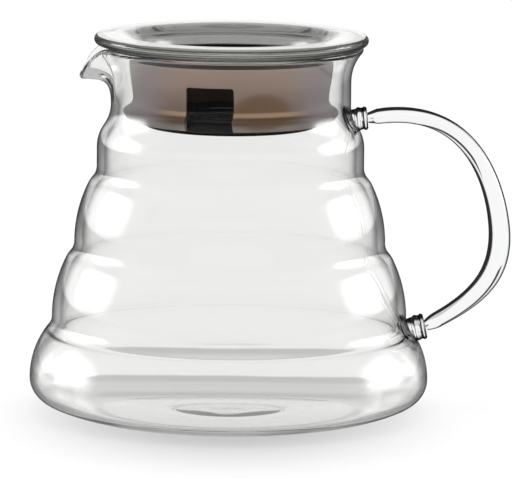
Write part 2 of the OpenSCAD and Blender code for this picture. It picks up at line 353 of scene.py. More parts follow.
@dataclass(frozen=True)
class ClearGlass:
    """Clear borosilicate glass with the faint waves of blowing or pressing.

    Where the surface turns away from the eye, matt black is mixed in as painted
    shade for the glass's dark edges, between the two values of edge.
    """

    IOR = 1.47
    WAVE_DETAIL = 1.5
    SMUDGE_SIZE, SMUDGE_DETAIL, SMUDGE = 9.0, 4.0, (0.56, 0.74)
    SMUDGE_ROUGHNESS = 0.012
    LEVEL = (0.985, 0.88)

    name: str
    tint: Triple
    wave_size: float
    wave_depth: float
    stretch: Triple = (1, 1, 1)
    edge: Point = (0.55, 0.95)
    depth: float = 0.9

    def body(self, g: Graph) -> object:
        """Colour of the glass itself."""
        return (*self.tint, 1)

    def frost(self, g: Graph, glass: Node) -> Node:
        """The glass with its painted highlights; none here."""
        return glass

    def darkness(self, g: Graph, facing: Signal) -> Signal:
        """How much painted shade the edge gets: walls only, level faces stay clear."""
        _, _, up = g.place("Normal")
        return facing.step(*self.edge) * abs(up).step(*self.LEVEL) * self.depth

    def make(self) -> Material:
        """Builds the material."""
        g = Graph(bpy.data.materials.new(self.name))
        waves = g.noise(self.wave_size, self.stretch, detail=self.WAVE_DETAIL)
        smudge = g.noise(self.SMUDGE_SIZE, detail=self.SMUDGE_DETAIL).step(*self.SMUDGE)
        facing = g.number("ShaderNodeLayerWeight", {}, {"Blend": 0.5}, "Facing")
        glass = g.node("ShaderNodeBsdfPrincipled", {}, {
            "Base Color": self.body(g),
            "Roughness": smudge * self.SMUDGE_ROUGHNESS,
            "IOR": self.IOR,
            "Transmission Weight": 1.0,
            "Normal": g.bump(waves, self.wave_depth),
        })
        # painted shade: matt black mixed over the glass at its edges
        return g.finish(g.blacken(self.darkness(g, facing), self.frost(g, glass)))


@dataclass(frozen=True)
class BlownGlass(ClearGlass):
    """The vessel's glass, whose painted edge shade is narrower on the thin spout."""

    SPOUT_OUT, SPOUT_UP = (-38.5, -41.5), (98.0, 104.0)
    CLEARER = 0.16

    def darkness(self, g: Graph, facing: Signal) -> Signal:
        """How much painted shade the wall's edge gets: less wide on the spout."""
        x, _, z = g.place()
        # painted shade: narrower over the spout
        spout = x.step(*self.SPOUT_OUT, MM) * z.step(*self.SPOUT_UP, MM)
        return super().darkness(g, facing - spout * self.CLEARER)


@dataclass(frozen=True)
class RodGlass(ClearGlass):
    """Solid drawn glass with painted edge shade, darkest on its inner and upper side and near the
    wall.
    """

    # Painted shade: which side of the rod gets more, how much more, and where near the wall.
    HEAVY, HEAVY_SIDE, HEAVY_EXTRA = (-0.7, 0.7), (0.0, 0.55), 1.3
    NEAR, NEAR_HEIGHT = (68.0, 46.0), 85.0

    near_extra: float = 0.9

    def darkness(self, g: Graph, facing: Signal) -> Signal:
        """How much painted shade the rod's edge gets."""
        x, _, z = g.place("Normal")
        # painted shade: more on the inner and upper side, and near the upper weld
        side = (x * self.HEAVY[0] + z * self.HEAVY[1]).step(*self.HEAVY_SIDE)
        x, _, z = g.place()
        near = x.step(*self.NEAR, MM) * (z > self.NEAR_HEIGHT * MM) * self.near_extra
        return (facing * (1 + side * (self.HEAVY_EXTRA + near))).step(*self.edge) * self.depth


@dataclass(frozen=True)
class LidGlass(ClearGlass):
    """Pressed glass, with painted grey shade round the top of the well and over the
    well's floor, and painted highlight streaks round its rim.
    """

    # Painted grey shade round the far side of the well's top: radii, height, side and colour.
    RING, RING_HEIGHT, RING_BACK = (33.4, 31.0), 108.0, (-12.0, 4.0)
    RING_TINT = (0.36, 0.36, 0.35)
    FLOOR_R, FLOOR_TOP = 27.5, 95.0
    FLOOR_EDGE, FLOOR_LEVEL, FLOOR_DEPTH = (0.15, 0.6), 0.97, 0.95
    BEAD_R, BEAD_BLEND, BEAD_LEVEL, FOOT_SHARE = 41.4, 1.2, 0.93, 0.25
    # Painted highlight streaks round the rim: colour, roughness and shares.
    MILK, MILK_ROUGHNESS, MILK_SHARE = (0.80, 0.81, 0.74), 0.25, (0.04, 0.5)
    STREAK_UP, STREAK_OUT, STREAK_EDGE = 2600, 900, (0.35, 0.75)

    def body(self, g: Graph) -> object:
        """Colour of the glass, with painted grey shade round the far side of the well's top."""
        x, y, z = g.place()
        # painted shade: grey glass round the far side of the well's top
        ring = around(x, y).step(*self.RING, MM) * (z > self.RING_HEIGHT * MM)
        return g.mix(ring * y.step(*self.RING_BACK, MM), (*self.tint, 1), (*self.RING_TINT, 1))

    def frost(self, g: Graph, glass: Node) -> Node:
        """The glass with painted highlight streaks, pale and rough, that run round its rim."""
        x, y, z = g.place()
        radius = around(x, y)
        along = z * self.STREAK_UP + radius * self.STREAK_OUT
        streaks = g.number("ShaderNodeTexNoise", {"noise_dimensions": "1D"}, {
            "W": along, "Scale": 1.0, "Detail": 1.0,
        })
        milky = g.node("ShaderNodeBsdfPrincipled", {}, {
            "Base Color": (*self.MILK, 1), "Roughness": self.MILK_ROUGHNESS,
        })
        least, most = self.MILK_SHARE
        # painted highlight: pale rough streaks mixed over the rim's bead
        rim = radius.step(self.BEAD_R - self.BEAD_BLEND, self.BEAD_R, MM)
        return g.blend(rim * (least + streaks.step(*self.STREAK_EDGE) * most), glass, milky)

    def darkness(self, g: Graph, facing: Signal) -> Signal:
        """How much painted shade the lid gets: on its rim, its foot and the well's floor."""
        x, y, z = g.place()
        radius = around(x, y)
        low = z < self.FLOOR_TOP * MM
        inside = (radius < self.FLOOR_R * MM) * low
        _, _, up = g.place("Normal")
        # painted shade on the rim, the foot of the well and the well's floor
        rim = (radius > self.BEAD_R * MM) + low * (1 - inside) * self.FOOT_SHARE
        floor = inside * (facing.step(*self.FLOOR_EDGE) + (abs(up) < self.FLOOR_LEVEL))
        outer = facing.step(*self.edge) * rim * (abs(up) < self.BEAD_LEVEL)
        return floor * self.FLOOR_DEPTH + outer * self.depth


@dataclass(frozen=True)
class Silicone:
    """Smoky translucent silicone, with painted shade where it faces the well.

    Heights and places are millimetres. An amber patch beside the notch is painted
    light, for light that comes through there, and the lip has a painted highlight
    line over a painted shade line.
    """

    # Painted shade on the face towards the well: where it begins, and how much black.
    INSIDE, INSIDE_BLACK = (29.2, 30.2), 0.5
    CLOUD_SIZE, CLOUD_STRETCH, CLOUD_SHIFT = 6.0, (1, 1, 0.6), 1.5
    TOP, FOOT = (97.0, 107.0), (95.2, 93.6)
    FLANK, FLANK_SHARE = (15.0, 27.0), 0.8
    # Painted light: the amber patch beside the notch, its middle, size, edge and share.
    PATCH, PATCH_SIZE, PATCH_EDGE, PATCH_SHARE = (9.5, 98.5), (9.0, 6.0), (1.25, 0.5), 0.85
    LIP_SIDE = (26.0, 16.0)
    # Painted highlight line on the lip and painted shade line under it: heights and shares.
    RIDGE, RIDGE_SHARE = (96.9, 97.5, 98.1, 98.8), 0.9
    UNDER, UNDER_SHARE = (94.4, 95.4, 96.7, 97.3), 0.85
    ROUGHNESS, ROUGHNESS_SPREAD = 0.42, 0.12
    GRAIN_SIZE, GRAIN_DETAIL, GRAIN_DEPTH, GRAIN_STRENGTH = 0.35, 2.0, 0.01, 0.5

    name: str
    top: Triple
    waist: Triple
    foot: Triple
    flank: Triple
    # Among these colours: the amber patch is painted light, the lip's light line a painted
    # highlight, the line under the lip and the inner face painted shade.
    amber: Triple
    ridge: Triple
    under: Triple
    inner: Triple

    def make(self) -> Material:
        """Builds the material."""
        g = Graph(bpy.data.materials.new(self.name))
        x, y, z = g.place()
        # painted shade: the inner colour and black on the face towards the well
        out = around(x, y).step(*self.INSIDE, MM)
        cloud = g.noise(self.CLOUD_SIZE, self.CLOUD_STRETCH)
        height = z + (cloud - 0.5) * self.CLOUD_SHIFT * MM
        # painted light: an amber patch beside the notch, in front
        aside = (x / MM - self.PATCH[0]) / self.PATCH_SIZE[0]
        above = (z / MM - self.PATCH[1]) / self.PATCH_SIZE[1]
        patch = (aside ** 2 + above ** 2).step(*self.PATCH_EDGE) * (y < 0)
        # painted highlight over painted shade on the lip, in front only
        lip = abs(x).step(*self.LIP_SIDE, MM) * (y < 0)
        skin = (*self.waist, 1)
        for share, colour in (
            (height.step(*self.TOP, MM), self.top),
            (height.step(*self.FOOT, MM), self.foot),
            (abs(x).step(*self.FLANK, MM) * self.FLANK_SHARE, self.flank),
            (patch * self.PATCH_SHARE, self.amber),
            (z.band(self.RIDGE, MM) * lip * self.RIDGE_SHARE, self.ridge),
            (z.band(self.UNDER, MM) * lip * self.UNDER_SHARE, self.under),
        ):
            skin = g.mix(share, skin, (*colour, 1))
        grain = g.noise(self.GRAIN_SIZE, detail=self.GRAIN_DETAIL)
        rubber = g.node("ShaderNodeBsdfPrincipled", {}, {
            "Base Color": g.mix(out, (*self.inner, 1), skin),
            "Roughness": self.ROUGHNESS + cloud * self.ROUGHNESS_SPREAD,
            "IOR": 1.41,
            "Subsurface Weight": 0.35,
            "Subsurface Radius": (1.0, 0.7, 0.5),
            "Subsurface Scale": 1.5 * MM,
            "Normal": g.bump(grain, self.GRAIN_DEPTH, self.GRAIN_STRENGTH),
        })
        return g.finish(g.blacken((1 - out) * self.INSIDE_BLACK, rubber))


# ---- vessel


@dataclass
class Vessel:
    """The blown vessel: tiers, neck, flared mouth and drawn spout."""

    # Largest turns of the arcs from point to point, in degrees.
    WIDE_STEP, SHOULDER_STEP, GROOVE_STEP = 2, 4, 7
    SOLE_STEP, FLARE_STEP, EDGE_STEP = 2.5, 3, 15
    # Radius and height of the iron's mark, the second row counted from its rim.
    MARK_MIDDLE = ((0, 0.16), (4.5, 0.16), (5.8, 0.08), (6.6, 0.02), (7.6, 0.06))
    MARK_RIM = ((-1.6, 0.06), (-0.7, 0.22), (-0.1, 0.3), (0.5, 0.05), (1, 0))

    wall: float = 2.4
    tier_radii: tuple[float, ...] = (62.5, 55.6, 48.7, 41.8)
    groove_tops: tuple[float, ...] = (30.4, 54.1, 77.8)
    groove_r: float = 5.7
    shoulder_r: float = 8.0
    lean: float = 42.0
    heel_r: float = 7.6
    sole_r: float = 44.6
    heel_angle: float = 65.0
    floor_t: float = 0.8
    mark_r: float = 17.0
    neck_r: float = 37.5
    collar_top: float = 97.5
    collar_drop: float = 13.5
    collar_fillet_r: float = 12.0
    flare_r: float = 14.2
    flare_angle: float = 40.6
    rim_top: float = 116.2
    turns: int = 256

    @property
    def widest(self) -> float:
        """Height of the widest place."""
        return self.sole_r - (self.sole_r - self.heel_r) * math.sin(math.radians(self.heel_angle))

    @property
    def sole_x(self) -> float:
        """Radius of the ring that the vessel stands on."""
        heel = math.radians(self.heel_angle)
        return self.tier_radii[0] - self.heel_r - (self.sole_r - self.heel_r) * math.cos(heel)

    @property
    def bend(self) -> Point:
        """Radius of the flare along the wall's middle, and its turn in radians."""
        return self.flare_r + self.wall / 2, math.radians(self.flare_angle)

    @property
    def lip(self) -> Point:
        """Middle of the rounded mouth edge, as radius and height."""
        radius, turn = self.bend
        return self.neck_r + self.flare_r - radius * math.cos(turn), self.rim_top - self.wall / 2

    @property
    def flare(self) -> Point:
        """Middle of the curve that flares the mouth, as radius and height."""
        radius, turn = self.bend
        return self.neck_r + self.flare_r, self.lip[1] - radius * math.sin(turn)

    def tier(self, low: int, inset: float) -> Outline:
        """The side from the widest place of a tier to the groove over it."""
        low_z = self.widest if low == 0 else self.groove_tops[low - 1]
        top_z, low_r, high_r = self.groove_tops[low], self.tier_radii[low], self.tier_radii[low + 1]
        lean = math.radians(self.lean)
        both = self.groove_r + self.shoulder_r
        across = low_r - high_r - self.groove_r - self.shoulder_r + both * math.cos(lean)
        rise = top_z - low_z - both * math.sin(lean)
        turn = 2 * math.atan(across / rise)
        wide_r = self.shoulder_r + rise / math.sin(turn)
        turn = math.degrees(turn)
        groove = (high_r + self.groove_r, top_z)
        shoulder = (groove[0] - both * math.cos(lean), groove[1] - both * math.sin(lean))
        return (
            arc((low_r - wide_r, low_z), wide_r - inset, 0, turn, self.WIDE_STEP)
            + arc(shoulder, self.shoulder_r - inset, turn, self.lean, self.SHOULDER_STEP)
            + arc(groove, self.groove_r + inset, 180 + self.lean, 180, self.GROOVE_STEP)
        )

    def sole(self, inset: float) -> Outline:
        """The thin floor from the axis out, with the iron's mark underneath."""
        if inset == 0:
            rows = [(float(x), z) for x, z in self.MARK_MIDDLE]
            rows += [(self.mark_r + x, z) for x, z in self.MARK_RIM]
            return rows + line(rows[-1], (self.sole_x, 0), 5)
        return [(0.0, self.floor_t)] + line((0, self.floor_t), (self.sole_x, self.floor_t), 9)

    def side(self, inset: float) -> Outline:
        """The wall's face that lies inset from its outside, from the sole's middle up."""
        side = self.sole(inset)
        thin = min(inset, self.floor_t)
        sole, heel = (self.sole_x, self.sole_r), (self.tier_radii[0] - self.heel_r, self.widest)
        side += arc(sole, self.sole_r - thin, -90, -self.heel_angle, self.SOLE_STEP)
        side += arc(heel, self.heel_r - thin, -self.heel_angle, 0)
        grown = self.tier(0, inset)
        fine = self.tier(0, thin)
        count = len(grown)
        for i, (slim, full) in enumerate(zip(fine, grown)):
            share = ease((i + 1) / count)
            side.append(tuple(a + (b - a) * share for a, b in zip(slim, full)))
        for low in range(1, len(self.groove_tops)):
            side += self.tier(low, inset)
        out = self.tier_radii[-1] - self.neck_r
        total = (out ** 2 + self.collar_drop ** 2) / (2 * out)
        turn = math.degrees(math.asin(self.collar_drop / total))
        bulge = total - self.collar_fillet_r
        foot = self.collar_top - self.collar_drop
        upright = self.tier_radii[-1] - inset
        side += line((upright, self.groove_tops[-1]), (upright, foot), 2)
        side += arc((self.tier_radii[-1] - bulge, foot), bulge - inset, 0, turn)
        fillet = (self.neck_r + self.collar_fillet_r, self.collar_top)
        side += arc(fillet, self.collar_fillet_r + inset, 180 + turn, 180)
        neck = self.neck_r - inset
        side += line((neck, self.collar_top), (neck, self.flare[1]), 8)
        flared = 180 - self.flare_angle
        return side + arc(self.flare, self.flare_r + inset, 180, flared, self.FLARE_STEP)

    def section(self) -> Outline:
        """The wall's closed section: up outside, round the edge, down inside."""
        turn = self.flare_angle
        edge = arc(self.lip, self.wall / 2, -turn, 180 - turn, self.EDGE_STEP)
        return self.side(0) + edge[:-1] + self.side(self.wall)[::-1]

    def build(self) -> Piece:
        """Models the closed glass body."""
        obj = Bench.lathe("vessel", self.section(), self.turns)
        Spout(self).draw(obj)
        Bench.soften(obj)
        return obj


@dataclass
class Spout:
    """The pouring lip, drawn out of the flared mouth and bent down.

    The three tables give the middle of the mouth's edge by the angle from the
    spout. The wall between the neck and that edge keeps its thickness.
    """

    FLAT_TO = 24
    TIP_TILT = 88
    PULL, TIP_PULL = 8.0, 2.2
    NECK_RISE, TIP_RISE = 6.0, 3.0
    PROBE, SIDE_PROBE = 0.01, 0.2

    vessel: Vessel
    angles: tuple[float, ...] = (0, 3, 6.3, 11.6, 13.8, 16.3, 20, 24, 29)
    reaches: tuple[float, ...] = (46.1, 46.0, 45.5, 44.8, 43.7, 41.9, 40.7, 40.15, 40.0)
    heights: tuple[float, ...] = (106.2, 106.6, 107.6, 110.2, 112.0, 113.9, 114.7, 114.95, 115.0)
    start: float = 97.5
    blend: float = 16.0

    def table(self, values: Sequence[float], angle: float) -> float:
        """Reads a table smoothly at an angle."""
        xs, ys = self.angles, values
        if angle >= xs[-1]:
            return ys[-1]
        i = max(k for k in range(len(xs) - 1) if xs[k] <= angle)

        def slope(k: int) -> float:
            """Slope of the table at entry k."""
            if k == 0 or k == len(xs) - 1:
                return 0.0
            return (ys[k + 1] - ys[k - 1]) / (xs[k + 1] - xs[k - 1])

        h = xs[i + 1] - xs[i]
        t = (angle - xs[i]) / h
        return (
            (2 * t ** 3 - 3 * t * t + 1) * ys[i] + (t ** 3 - 2 * t * t + t) * h * slope(i)
            + (3 * t * t - 2 * t ** 3) * ys[i + 1] + (t ** 3 - t * t) * h * slope(i + 1)
        )

    def middle(self, share: float, angle: float) -> Vector:
        """A point of the drawn wall's middle.

        Args:
            share: Place from the neck to the mouth's edge, 0 to 1.
            angle: Degrees from the spout, to either side.
        """
        v = self.vessel
        size = abs(angle)
        edge = (self.table(self.reaches, size), self.table(self.heights, size))
        flat = 1 - ease(size / self.FLAT_TO)
        tilt = math.radians(v.flare_angle + (self.TIP_TILT - v.flare_angle) * flat)
        pull = self.PULL - self.TIP_PULL * flat
        foot = v.neck_r - v.wall / 2
        up = (foot, self.start + self.NECK_RISE + self.TIP_RISE * flat)
        inward = (edge[0] - pull * math.sin(tilt), edge[1] - pull * math.cos(tilt))
        r, z = cubic((foot, self.start), up, inward, edge, share)
        a = math.radians(angle)
        return Vector((-r * math.cos(a), r * math.sin(a), z))

    def unroll(self, radius: float, z: float) -> Point:
        """Length along the wall, also past the edge's middle, and depth out of its middle."""
        v = self.vessel
        centre = v.flare
        if z < centre[1]:
            return z - self.start, radius - (v.neck_r - v.wall / 2)
        dx, dz = radius - centre[0], z - centre[1]
        turn = math.pi - math.atan2(dz, dx)
        bend_r, bend = v.bend
        low = centre[1] - self.start
        if turn <= bend:
            return low + bend_r * turn, bend_r - math.hypot(dx, dz)
        dx, dz = radius - v.lip[0], z - v.lip[1]
        along = dx * math.sin(bend) + dz * math.cos(bend)
        return low + bend_r * bend + along, dx * math.cos(bend) - dz * math.sin(bend)

    def draw(self, obj: Piece) -> None:
        """Draws the spout in the spun vessel."""
        v, probe, aside = self.vessel, self.PROBE, self.SIDE_PROBE
        whole = v.flare[1] - self.start + v.bend[0] * v.bend[1]
        for vertex in obj.data.vertices:
            x, y, z = vertex.co / MM
            angle = math.degrees(math.atan2(y, -x))
            if z <= self.start + probe or abs(angle) >= self.angles[-1]:
                continue
            length, depth = self.unroll(math.hypot(x, y), z)
            share = min(max(length / whole, probe), 1 - probe)
            up = self.middle(share + probe, angle) - self.middle(share - probe, angle)
            across = self.middle(share, angle - aside) - self.middle(share, angle + aside)
            up, across = up.normalized(), across.normalized()
            out = up.cross(across).normalized()
            if out.dot(Vector((x, y, 0))) < 0:
                out = -out
            ahead = (up - up.dot(across) * across).normalized()
            place = self.middle(min(length / whole, 1.0), angle)
            place += out * depth + ahead * max(length - whole, 0.0)
            keep = ease((abs(angle) - self.blend) / (self.angles[-1] - self.blend))
            vertex.co = place.lerp(Vector((x, y, z)), keep) * MM
        obj.data.update()


# ---- handle


@dataclass(frozen=True)
class Weld:
    """A pad of fused glass with two rolled edges, between rod and wall."""

    FACE_TURN, EDGE_TURN, BACK_TURN, STEP = 90, 55, 60, 14
    BACK_INSET = 0.1

    name: str
    node: str
    x: float
    z: float
    lean: float
    radius: float
    ring_gap: float = 1.9
    ring_r: float = 0.8
    turns: int = 48

    @property
    def middle(self) -> Vector:
        """Middle of the pad's face, in metres."""
        return Vector((self.x, 0, self.z)) * MM

    @property
    def out(self) -> Vector:
        """Direction in which the pad's face looks."""
        return flat_way(self.lean)

    def outline(self) -> Outline:
        """The pad's section from the middle of its face to its back."""
        core = self.radius - self.ring_r
        first, second = -self.ring_r, -self.ring_r - self.ring_gap
        depth = self.radius + self.ring_gap + self.ring_r
        points = [(0.0, 0.0), (core * 0.5, 0.0)]
        points += arc((core, first), self.ring_r, self.FACE_TURN, -self.EDGE_TURN, self.STEP)
        points += arc((core, second), self.ring_r, self.EDGE_TURN, -self.BACK_TURN, self.STEP)
        return points + [(core - self.BACK_INSET, -depth), (0.0, -depth)]

    def build(self, wall: Piece) -> Piece:
        """Models the closed pad and cuts the vessel's outside, wall, off it."""
        obj = Bench.lathe(self.name, self.outline(), self.turns)
        turn = Matrix.Rotation(math.radians(90 - self.lean), 4, "Y")
        obj.data.transform(Matrix.Translation(self.middle) @ turn)
        Bench.cut(obj, wall)
        Bench.heal(obj)
        Bench.soften(obj)
        return obj


@dataclass
class Handle:
    """The bent glass rod, thick in the grip and thin at the welds."""

    SMOOTHNESS, ROUNDNESS = 3, 8
    TRIM_REACH, TRIM_GAP = 8, 0.04

    reach: float = 84.5
    reach_z: float = 56.4
    grip_r: float = 3.5
    end_r: float = 2.5
    neck_r: float = 1.6
    neck_l: float = 4.5
    upper_rise: float = 12.0
    upper_pull: float = 38.0
    grip_pull_up: float = 7.8
    grip_pull_down: float = 12.9
    lower_pull: float = 18.1
    lower_rise: float = 27.5
    swell_power: float = 1.7
    swell_late: float = 1.25
    cuts: int = 35
    upper: Weld = Weld("upper_fused_pad", "upper_weld", 42.7, 93.5, 6.0, 3.7)
    lower: Weld = Weld("lower_fused_pad", "lower_weld", 61.6, 27.9, 13.0, 4.1)

    def knots(self) -> list[tuple[Vector, Vector, Vector]]:
        """Left handle, point and right handle of the rod's three bends."""
        leave, arrive, rise = (flat_way(a) * MM for a in (self.upper_rise, self.lower_rise, 90))
        a, b, c = self.upper.middle, Vector((self.reach, 0, self.reach_z)) * MM, self.lower.middle
        return [
            (a - leave, a, a + leave * self.upper_pull),
            (b + rise * self.grip_pull_up, b, b - rise * self.grip_pull_down),
            (c + arrive * self.lower_pull, c, c - arrive),
        ]

    def radius_at(self, share: float, place: Vector) -> float:
        """Radius in millimetres at a share of the rod's way, whose middle is at place."""
        swell = max(0.0, math.sin(math.pi * share ** self.swell_late)) ** self.swell_power
        near = min((place - weld.middle).length for weld in (self.upper, self.lower)) / MM
        thin = max(0.0, 1 - near / self.neck_l) ** 2
        return self.end_r + (self.grip_r - self.end_r) * swell - (self.end_r - self.neck_r) * thin

    def build(self) -> Piece:
        """Models the closed rod, its ends trimmed flush with the pads."""
        Bench.clear()
        bpy.ops.curve.primitive_bezier_curve_add()
        obj = bpy.context.object
        obj.name = obj.data.name = "handle"
        spline = obj.data.splines[0]
        spline.bezier_points.add(1)
        for point, (left, middle, right) in zip(spline.bezier_points, self.knots()):
            point.handle_left_type = point.handle_right_type = "FREE"
            point.co, point.handle_left, point.handle_right = middle, left, right
        Bench.mode("EDIT")
        bpy.ops.curve.select_all(action="SELECT")
        bpy.ops.curve.subdivide(number_cuts=self.cuts)
        Bench.mode("OBJECT")
        spline = obj.data.splines[0]
        last = len(spline.bezier_points) - 1
        for i, point in enumerate(spline.bezier_points):
            point.radius = self.radius_at(i / last, point.co) / self.grip_r
        spline.resolution_u = self.SMOOTHNESS
        obj.data.bevel_depth = self.grip_r * MM
        obj.data.bevel_resolution = self.ROUNDNESS
        obj.data.use_fill_caps = True
        Bench.pick(obj)
        bpy.ops.object.convert(target="MESH")
        Bench.heal(obj)
        for weld in (self.upper, self.lower):
            self.trim(obj, weld)
        Bench.soften(obj)
        return obj

    def trim(self, obj: Piece, weld: Weld) -> None:
        """Cuts the end of the rod along the face of a pad."""
        Bench.mode("EDIT")
        bpy.ops.mesh.select_all(action="DESELECT")
        work = bmesh.from_edit_mesh(obj.data)
        for vertex in work.verts:
            vertex.select = (vertex.co - weld.middle).length < self.TRIM_REACH * MM
        work.select_flush(True)
        bmesh.update_edit_mesh(obj.data)
        bpy.ops.mesh.bisect(
            plane_co=weld.middle + weld.out * self.TRIM_GAP * MM, plane_no=weld.out,
            use_fill=True, clear_inner=True, threshold=0.0001 * MM,
        )
        Bench.mode("OBJECT")


# ---- lid


@dataclass
class Lid:
    """The glass lid: a flange with a rounded edge and a hanging well."""

    TURN_STEP, EDGE_STEP, FLARE_STEP = 9, 12, 6

    radius: float = 42.8
    flange_t: float = 3.0
    flange_z: float = 116.3
    well_r: float = 29.0
    well_wall: float = 2.0
    well_drop: float = 26.2
    well_flare_r: float = 7.4
    well_fillet_r: float = 3.4
    well_floor_r: float = 4.6
    turns: int = 192

    def outline(self) -> Outline:
        """The lid's closed section from the well's floor round to its inside."""
        low, top = self.flange_z - self.well_drop, self.flange_z + self.flange_t
        turn_z, fillet_z = low + self.well_floor_r, self.flange_z - self.well_fillet_r
        inner, edge = self.well_r - self.well_wall, self.flange_t / 2
        rim, inner_turn = self.radius - edge, self.well_floor_r - self.well_wall
        floor = self.well_r - self.well_floor_r
        fillet = self.well_r + self.well_fillet_r
        flare = (inner + self.well_flare_r, top - self.well_flare_r)
        points = [(0.0, low)] + line((0, low), (floor, low), 4)
        points += arc((floor, turn_z), self.well_floor_r, -90, 0, self.TURN_STEP)
        points += line((self.well_r, turn_z), (self.well_r, fillet_z), 5)
        points += arc((fillet, fillet_z), self.well_fillet_r, 180, 90, self.TURN_STEP)
        points += line((fillet, self.flange_z), (rim, self.flange_z), 3)
        points += arc((rim, self.flange_z + edge), edge, -90, 90, self.EDGE_STEP)
        points += line((rim, top), (flare[0], top), 3)
        points += arc(flare, self.well_flare_r, 90, 180, self.FLARE_STEP)
        points += line((inner, flare[1]), (inner, turn_z), 4)
        points += arc((inner - inner_turn, turn_z), inner_turn, 0, -90, self.EDGE_STEP)
        inside = low + self.well_wall
        return points + line((inner - inner_turn, inside), (0, inside), 4)

    def build(self) -> Piece:
        """Models the closed lid."""
        obj = Bench.lathe("lid", self.outline(), self.turns)
        Bench.soften(obj)
        return obj


@dataclass
class Sleeve:
    """The silicone sleeve round the well, with its pouring notch."""

    LIP_UNDER, LIP_OVER, LIP_STEP, TOP_STEP = 60, 70, 13, 30
    FOOT_PULL, UNDER_PULL, LIP_PULL = (0.9, 0.5), (-0.5, -1.3), (0.6, 1.6)
    WAIST_PULL, NECK_PULL, TOP_PULL = (0, -1.2), (0, 3), (0, -4.5)
    NOTCH_ROUND, NOTCH_OVERRUN, NOTCH_CREASE = 0.9, 4, 40

    inner_r: float = 29.05
    foot_z: float = 92.3
    height: float = 20.4
    top_r: float = 31.8
    top_round: float = 0.5
    waist_r: float = 30.6
    waist_rise: float = 7.4
    lip_r: float = 33.6
    lip_rise: float = 3.4
    lip_round: float = 0.8
    foot_r: float = 31.0
    notch_w: float = 14.8
    notch_h: float = 14.0
    notch_turn: float = 258.0
    turns: int = 192

    def outline(self) -> Outline:
        """The closed section of the ring, from its inner foot round."""
        def sweep(a: Point, leave: Point, arrive: Point, d: Point, parts: int) -> Outline:
            """Points along a cubic curve whose pulls count from its two ends."""
            b, c = (a[0] + leave[0], a[1] + leave[1]), (d[0] + arrive[0], d[1] + arrive[1])
            return [cubic(a, b, c, d, t / parts) for t in range(1, parts + 1)]

        lip = (self.lip_r - self.lip_round, self.foot_z + self.lip_rise)
        top = self.foot_z + self.height
        under = arc(lip, self.lip_round, 0, -self.LIP_UNDER, self.LIP_UNDER)[0]
        foot = (self.foot_r, self.foot_z)
        waist = (self.waist_r, self.foot_z + self.waist_rise)
        above = (self.top_r, top - self.top_round)
        points = [(self.inner_r, self.foot_z), foot]
        points += sweep(foot, self.FOOT_PULL, self.UNDER_PULL, under, 6)
        points += arc(lip, self.lip_round, -self.LIP_UNDER, self.LIP_OVER, self.LIP_STEP)
        over = points[-1]
        back = (self.waist_r + self.LIP_PULL[0] - over[0], lip[1] + self.LIP_PULL[1] - over[1])
        points += sweep(over, back, self.WAIST_PULL, waist, 6)
        points += sweep(waist, self.NECK_PULL, self.TOP_PULL, above, 8)
        points += arc((self.top_r - self.top_round, above[1]), self.top_round, 0, 90, self.TOP_STEP)
        return points + [(self.inner_r, top), (self.inner_r, self.foot_z)]

    def build(self) -> Piece:
        """Models the closed ring and cuts its notch."""
        obj = Bench.lathe("sleeve", self.outline(), self.turns)
        Bench.clear()
        bpy.ops.mesh.primitive_cube_add(size=MM, enter_editmode=True)
        tool = bpy.context.object
        over = self.NOTCH_OVERRUN
        reach = self.lip_r - self.inner_r + over
        bpy.ops.transform.resize(value=(reach, self.notch_w, self.notch_h + over))
        bpy.ops.mesh.bevel(offset=self.NOTCH_ROUND * MM, segments=4)
        middle = (self.inner_r + (reach - over) / 2, 0, self.foot_z + (self.notch_h - over) / 2)
        bpy.ops.transform.translate(value=tuple(c * MM for c in middle))
        Bench.mode("OBJECT")
        tool.data.transform(Matrix.Rotation(math.radians(self.notch_turn), 4, "Z"))
        Bench.cut(obj, tool)
        Bench.soften(obj, self.NOTCH_CREASE)
        return obj


# ---- studio


@dataclass(frozen=True)
class Softbox:
    """A large soft lamp that looks at the server."""

    name: str
    turn: float
    rise: float
    distance: float
    width: float
    height: float
    power: float

    def hang(self, aim: Vector) -> None:
        """Hangs the lamp so that it looks at the point aim."""
        data = bpy.data.lights.new(self.name, "AREA")
        data.shape, data.size, data.size_y = "RECTANGLE", self.width, self.height
        data.energy = self.power
        lamp = bpy.data.objects.new(self.name, data)
        back = away(self.turn, self.rise)
        lamp.location = aim + back * self.distance
        lamp.rotation_euler = back.to_track_quat("Z", "Y").to_euler()
        lamp.visible_camera = lamp.visible_glossy = lamp.visible_transmission = False
        bpy.context.scene.collection.objects.link(lamp)


@dataclass(frozen=True)
class Window:
    """A bright soft-edged part of the studio, seen in reflections only."""

    turn: float
    rise: float
    half_width: float
    half_height: float
    power: float
    soft: float = 0.09

    def glow(self, x: Signal, y: Signal, z: Signal) -> Signal:
        """Brightness that the window adds in the direction x, y, z."""
        back = away(self.turn, self.rise)
        wide = away(self.turn + 90, 0)
        ahead, aside, above = (x * v.x + y * v.y + z * v.z for v in (back, wide, back.cross(wide)))
        inside = ahead > 0
        for part, half in ((aside, self.half_width), (above, self.half_height)):
            inside = inside * abs(part / ahead).step(half + self.soft, half - self.soft)
        return inside * self.power


